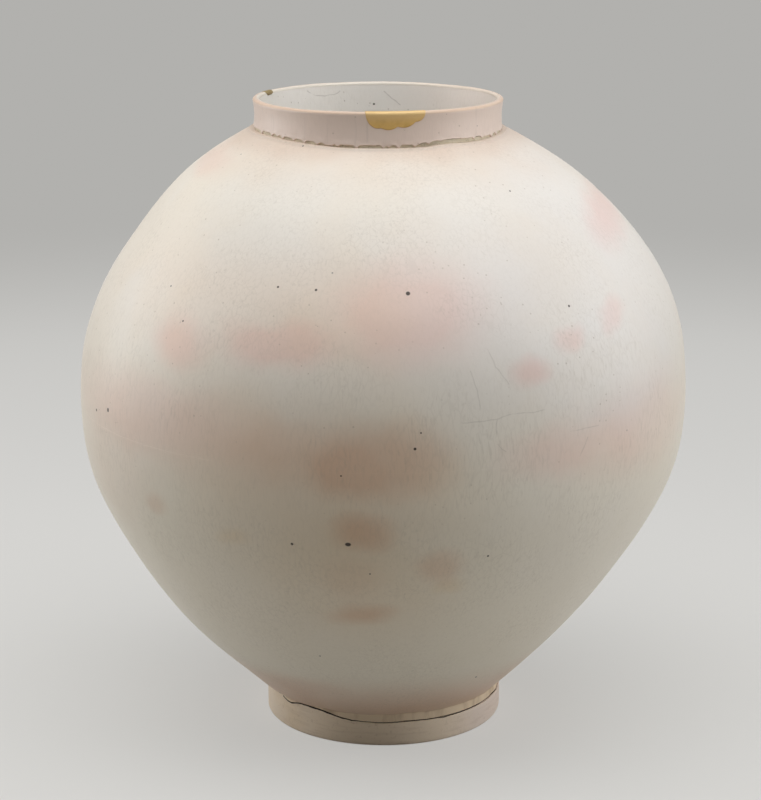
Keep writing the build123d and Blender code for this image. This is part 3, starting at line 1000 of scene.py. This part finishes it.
def glaze(name, low, high, collar=False):
    """Crazed white glaze with the marks that lie between two heights."""
    mix = Finish(name)
    place = mix.place()
    across = mix.node("ShaderNodeSeparateXYZ", None, {0: place}, "X")
    height = across.other("Z")
    warp = stray(mix, place, 34, 3, SPOT_STRAY)
    wandering = mix.vector("ADD", place, warp)
    patch = mix.cloud(wandering, 22, 3)
    flat = from_axis(mix, place)

    # Body colour, creamier in patches and lower down
    colour = mix.tint(mix.ease(mix.cloud(place, 11, 3), 0.38, 0.66), GLAZE, GLAZE_CREAM)
    colour = mix.tint(mix.ease(height, CREAM_START, CREAM_FULL) * (patch * 0.5 + 0.7), colour, GLAZE_LOW)

    # Stains, and cool patches of painted reflection on the right
    totals = {}
    for veil, middle, size, strength in stain_and_reflection_spots:
        reach = SPOT_FADE * size.z + SPOT_DRIFT
        if low - reach < middle.z < high + reach:
            spot = mix.ease(nearness(mix, wandering, middle, size), SPOT_FADE, SPOT_CORE, 0.0, strength)
            totals[veil] = spot if veil not in totals else totals[veil] + spot
    grain = patch * 0.5 + 0.75
    for veil, total in totals.items():
        # Multiplies in the stains, and the cool tint of the painted reflection
        colour = mix.multiply_tint(total * grain, colour, veil)
    if collar:
        outside = mix.ease(flat, LIP_BORE + MM, LIP_RADIUS - 2 * MM)
        # Painted light: the inside of the collar takes a paler glaze, to brighten its shaded inner wall
        colour = mix.tint(0.85, colour, GLAZE_INSIDE_PAINTED_LIGHT)
        colour = mix.multiply_tint(mix.ease(across, -0.01, 0.07) * (patch * 0.6 + 0.5), colour, PEACH_VEIL)
        colour = mix.tint(outside * (patch * 0.4 + 0.8), colour, GLAZE_COLLAR)
    else:
        uneven = height + mix.cloud(place, 34, 3) * 0.012
        wide_halo = mix.ease(height, HALO_START, HALO_FULL) * (patch * 0.5 + 0.15)
        neck_halo = mix.ease(uneven, NECK_HALO_START, NECK_HALO_FULL) * 0.55
        halo = wide_halo + neck_halo
        hem = mix.ease(height, HEM_START, HEM_FULL) * (patch * 0.6 + 0.6)
        # Halo below the neck: a peach stain, and painted shade darkening the shoulder under the collar
        colour = mix.multiply_tint(halo, colour, HALO_STAIN_AND_SHADE)
        # Hem: warmer and darker towards the foot, partly a stain and partly painted shade
        colour = mix.multiply_tint(hem, colour, HEM_STAIN_AND_SHADE)

    # Crazing: fine upright threads, and a faint net
    crackle = {"feature": "DISTANCE_TO_EDGE"}
    wavy = mix.vector("MULTIPLY_ADD", warp, (0.3, 0.3, 0.3), place)
    upright = mix.vector("MULTIPLY", wavy, (1, 1, 0.25))
    net_edge = mix.node("ShaderNodeTexVoronoi", crackle, {"Vector": upright, "Scale": 260})
    faint = mix.ease(mix.cloud(place, 26, 2), 0.34, 0.66, 0.3, 1.0)
    threads = mix.ease(mix.cloud(upright, 620, 2), 0.50, 0.74)
    crazing = mix.most(threads, mix.ease(net_edge, 0.0, 0.10, 1.0, 0.0) * 0.5) * faint
    colour = mix.tint(crazing * (CRAZE_COLLAR if collar else CRAZE_BODY), colour, CRAZE)

    # Pits and fine specks, mostly high on the body
    pits = dots(mix, place, 240, 0.17, 0.30) * mix.ease(mix.cloud(place, 18, 2), 0.36, 0.60, 0.2, 1.0)
    freckles = dots(mix, place, 70, 0.05, 0.09)
    upper = mix.ease(height, SPECKLED_START, SPECKLED_FULL, 0.35, 1.0)
    colour = mix.tint(pits * upper * 0.35, colour, PIT)
    colour = mix.tint(freckles * upper * 0.5, colour, IRON)

    # Iron specks and hairlines
    speck = None
    for middle, size in speck_spots:
        if low < middle.z < high:
            spot = mix.ease(nearness(mix, place, middle, size), 1.0, 0.62)
            speck = spot if speck is None else mix.most(speck, spot)
    if speck is not None:
        colour = mix.tint(speck * 0.95, colour, IRON)
    nearest = None
    wobble = mix.vector("ADD", place, stray(mix, place, 110, 3, HAIR_STRAY))
    for start, end in hair_runs:
        if low < (start.z + end.z) / 2 < high:
            gap = hairline(mix, wobble, start, end)
            nearest = gap if nearest is None else mix.least(nearest, gap)
    if nearest is not None:
        line = mix.ease(nearest, 0.55 * MM, 0.1 * MM)
        colour = mix.tint(line * (HAIR_COLLAR if collar else HAIR_BODY), colour, HAIR)

    rough = 0.34 + mix.cloud(place, 40, 3) * 0.16 + pits * 0.2
    if collar:
        crown = mix.ease(height, LIP_EDGE - 0.3 * MM, LIP_EDGE + 0.7 * MM)
        rim = mix.ease(flat, LIP_RADIUS - 1.9 * MM, LIP_RADIUS - 0.5 * MM) * crown
        colour = mix.multiply_tint(crown * (patch * 0.5 + 0.75), colour, RIM_VEIL)
        colour = mix.tint(rim * (patch * 0.5 + 0.1), colour, LIP_PEACH)
        ribs = mix.vector("MULTIPLY", place, (1, 1, 0.02))
        runs = mix.ease(mix.cloud(ribs, 260, 1), 0.64, 0.78) * outside
        colour = mix.tint(runs * 0.22, colour, STREAK)
    else:
        bare = mix.ease(height + mix.cloud(place, 60, 2) * 0.004, BARE_START, BARE_FULL)
        ribs = mix.vector("MULTIPLY", place, (1, 1, 0.25))
        runs = mix.ease(mix.cloud(ribs, 150, 3), 0.42, 0.78)
        raw = mix.tint(runs * mix.ease(flat, DISH_PLAIN, STUB_STREAKED, 0.12, 0.70), CLAY, CLAY_DARK)
        colour = mix.tint(bare, colour, raw)
        colour = mix.tint(bare * (1 - bare) * 1.2, colour, CLAY_DARK)
        # Painted shadow: a dark line along the crack, where the gap's shade falls
        colour = mix.tint(painted_crack_shadow(mix, place), colour, CRACK_SHADOW)
        rough = rough + bare * 0.4

    skin = mix.cloud(place, 420, 2) * 0.25 + mix.cloud(place, 60, 2) * 0.6 - pits * 0.8 - crazing * 0.15
    normal = mix.node("ShaderNodeBump", None, {"Strength": 0.2, "Distance": 0.0006, "Height": skin})
    return mix.surface(colour, rough, normal, Specular_IOR_Level=0.3, Coat_Weight=0.05, Coat_Roughness=0.2)


# Where the foot turns rosy towards the right, and where painted light makes it pale towards the front
FOOT_ROSE = (-20 * MM, 70 * MM)
FOOT_FRONT_PAINTED_LIGHT = (-45 * MM, -72 * MM)


def bare_clay(name, pale, middle, dark, wear, foot=False, lined=False):
    """Matt fired clay with a grain, darker in its hollows."""
    mix = Finish(name)
    place = mix.place()
    cloudy = mix.ease(mix.cloud(place, 28, 4), 0.34, 0.66)
    colour = mix.tint(cloudy, middle, pale)
    if foot:
        across = mix.node("ShaderNodeSeparateXYZ", None, {0: place}, "X")
        colour = mix.tint(mix.ease(across, *FOOT_ROSE) * 0.85, colour, CLAY_ROSE)
        # Painted light: the front of the foot is made paler, where it lies in the belly's shade
        colour = mix.tint(mix.ease(across.other("Y"), *FOOT_FRONT_PAINTED_LIGHT) * 0.85, colour, CLAY_FRONT_PAINTED_LIGHT)
    grain = mix.cloud(place, 520, 3)
    colour = mix.tint(mix.ease(grain, 0.58, 0.74) * wear, colour, dark)
    turned = mix.cloud(mix.vector("MULTIPLY", place, (0.12, 0.12, 1)), 420, 2)
    colour = mix.tint(mix.ease(turned, 0.52, 0.70) * wear * 0.6, colour, dark)
    spots = dots(mix, place, 150, 0.12, 0.12)
    colour = mix.tint(spots * wear, colour, dark)
    if foot:
        # Painted shadow: a dark line along the crack, where the gap's shade falls
        colour = mix.tint(painted_crack_shadow(mix, place), colour, CRACK_SHADOW)
    if lined:
        flat = from_axis(mix, place)
        # The band's inner face takes the inside glaze, with its painted light
        colour = mix.tint(mix.ease(flat, LIP_BORE, LIP_BORE - MM), colour, GLAZE_INSIDE_PAINTED_LIGHT)
    skin = grain * 0.5 + turned * 0.5 - spots * 0.6
    normal = mix.node("ShaderNodeBump", None, {"Strength": 0.35, "Distance": 0.0006, "Height": skin})
    return mix.surface(colour, 0.78 + cloudy * 0.1, normal, Specular_IOR_Level=0.3)


def lacquer(name):
    """Gold powder in lacquer, worn a little darker in patches."""
    mix = Finish(name)
    place = mix.place()
    depth = mix.node("ShaderNodeSeparateXYZ", None, {0: place}, "Y")
    worn = mix.ease(mix.cloud(place, 150, 4), 0.40, 0.70)
    colour = mix.tint(worn * 0.7, GOLD, GOLD_DARK)
    powder = mix.cloud(place, 1500, 2)
    colour = mix.tint(mix.ease(powder, 0.58, 0.75) * 0.4, colour, GOLD_DARK)
    colour = mix.tint(mix.ease(depth.other("Z"), LIP_EDGE - 6 * MM, LIP_EDGE) * 0.8, colour, GOLD_PALE)
    colour = mix.tint(mix.ease(depth, -0.01, 0.01) * 0.9, colour, GOLD_OLIVE)
    rough = 0.42 + worn * 0.2
    normal = mix.node("ShaderNodeBump", None, {
        "Strength": 0.25, "Distance": 0.0004, "Height": powder * 0.4 + mix.cloud(place, 220, 2)})
    return mix.surface(colour, rough, normal, Metallic=0.15, Specular_IOR_Level=0.4)


lower_glaze = glaze("glazed_porcelain_lower", 0.0, lower_rim.z)
upper_glaze = glaze("glazed_porcelain_upper", lower_rim.z - 6 * MM, NECK)
collar_glaze = glaze("glazed_porcelain_collar", NECK, FAR, collar=True)
foot_clay = bare_clay("bare_clay_foot", CLAY_PALE, CLAY, CLAY_DARK, 0.22, foot=True)
# The slip behind the crack is painted near black: painted shadow in the gap
crack_slip_shadow = bare_clay("crack_slip_painted_shadow", CRACK_SHADOW, CRACK_SHADOW, IRON, 0.4)
band_clay = bare_clay("bare_clay_band", BAND, BAND, BAND_DARK, 0.6, lined=True)
gold = lacquer("gold_lacquer_fill")

finish_piece(foot_ring, "foot_ring", foot_clay)
finish_piece(foot_slip, "foot_slip", crack_slip_shadow)
finish_piece(lower_bowl, "lower_bowl", lower_glaze)
finish_piece(waist_slip, "waist_slip", upper_glaze)
finish_piece(upper_bowl, "upper_bowl", upper_glaze, 55)
finish_piece(neck_slip, "neck_slip", band_clay)
finish_piece(mouth_collar, "mouth_collar", collar_glaze)
finish_piece(front_lip_fill, "front_lip_fill", gold, 60)
finish_piece(rear_lip_fill, "rear_lip_fill", gold, 60)

# Floor and background: pale where they are seen, dimmer where they light the jar
FLOOR_SIZE = 40.0
FLOOR_SEEN = shade(222, 221, 218)
FLOOR_FAR = shade(182, 181, 178)
FLOOR_BOUNCE = shade(188, 186, 182)
WORLD_SEEN = shade(180, 179, 176)
WORLD_LIGHT = shade(20, 20, 20)

# How the floor's own glow takes over from lamplight and fades in colour, away from the jar
GLOW_STRENGTH = 0.95
GLOW_LEAST = 0.6
GLOW_RISE = (0.45, 1.2)
GLOW_FADE = (0.4, 1.9)


def seen(finish):
    """1 for what the camera sees, directly, in a reflection or through glass."""
    direct = finish.node("ShaderNodeLightPath", None, None, "Is Camera Ray")
    return finish.least(direct + direct.other("Is Glossy Ray") + direct.other("Is Transmission Ray"), 1.0)


deselect()
bpy.ops.mesh.primitive_plane_add(size=FLOOR_SIZE, location=(0, 0, 0))
floor = bpy.context.object
floor.name = "floor"
paper = Finish("paper_floor")
view = seen(paper)
from_jar = paper.length(paper.place())
lit = paper.node("ShaderNodeBsdfDiffuse", None, {"Color": paper.tint(view, FLOOR_BOUNCE, FLOOR_SEEN)})
glow_colour = paper.tint(paper.ease(from_jar, *GLOW_FADE), FLOOR_SEEN, FLOOR_FAR)
glow = paper.node("ShaderNodeEmission", None, {"Color": glow_colour, "Strength": GLOW_STRENGTH})
glow_share = view * paper.ease(from_jar, *GLOW_RISE, GLOW_LEAST, 1.0)
both = paper.node("ShaderNodeMixShader", None, {0: glow_share, 1: lit, 2: glow})
paper.node("ShaderNodeOutputMaterial", None, {"Surface": both})
floor.data.materials.append(paper.material)

world = bpy.data.worlds.new("studio")
world.use_nodes = True
scene.world = world


class Room(Finish):
    """The world's nodes, made in the same way as a material's."""

    def __init__(self, tree):
        self.nodes = tree.nodes
        self.links = tree.links
        self.nodes.clear()


room = Room(world.node_tree)
wall = room.node("ShaderNodeBackground", None, {"Color": room.tint(seen(room), WORLD_LIGHT, WORLD_SEEN)})
room.node("ShaderNodeOutputWorld", None, {"Surface": wall})

# Soft boxes: name, place, width and height in metres, and power in watts
AIM = Vector((0, 0, 0.24))
SOFT_BOXES = (
    ("top_box", (0.0, -0.25, 1.60), 1.8, 1.4, 23),
    ("right_box", (1.37, -0.12, 0.48), 1.2, 1.2, 10.2),
    ("left_box", (-1.36, 0.24, 0.48), 1.2, 1.2, 10.5),
)


def softbox(name, place, width, height, power):
    """Rectangular white lamp that faces the jar."""
    deselect()
    bpy.ops.object.light_add(type="AREA", location=place)
    lamp = bpy.context.object
    lamp.name = name
    lamp.rotation_euler = (AIM - Vector(place)).to_track_quat("-Z", "Y").to_euler()
    lamp.data.shape = "RECTANGLE"
    lamp.data.size = width
    lamp.data.size_y = height
    lamp.data.energy = power


for box in SOFT_BOXES:
    softbox(*box)
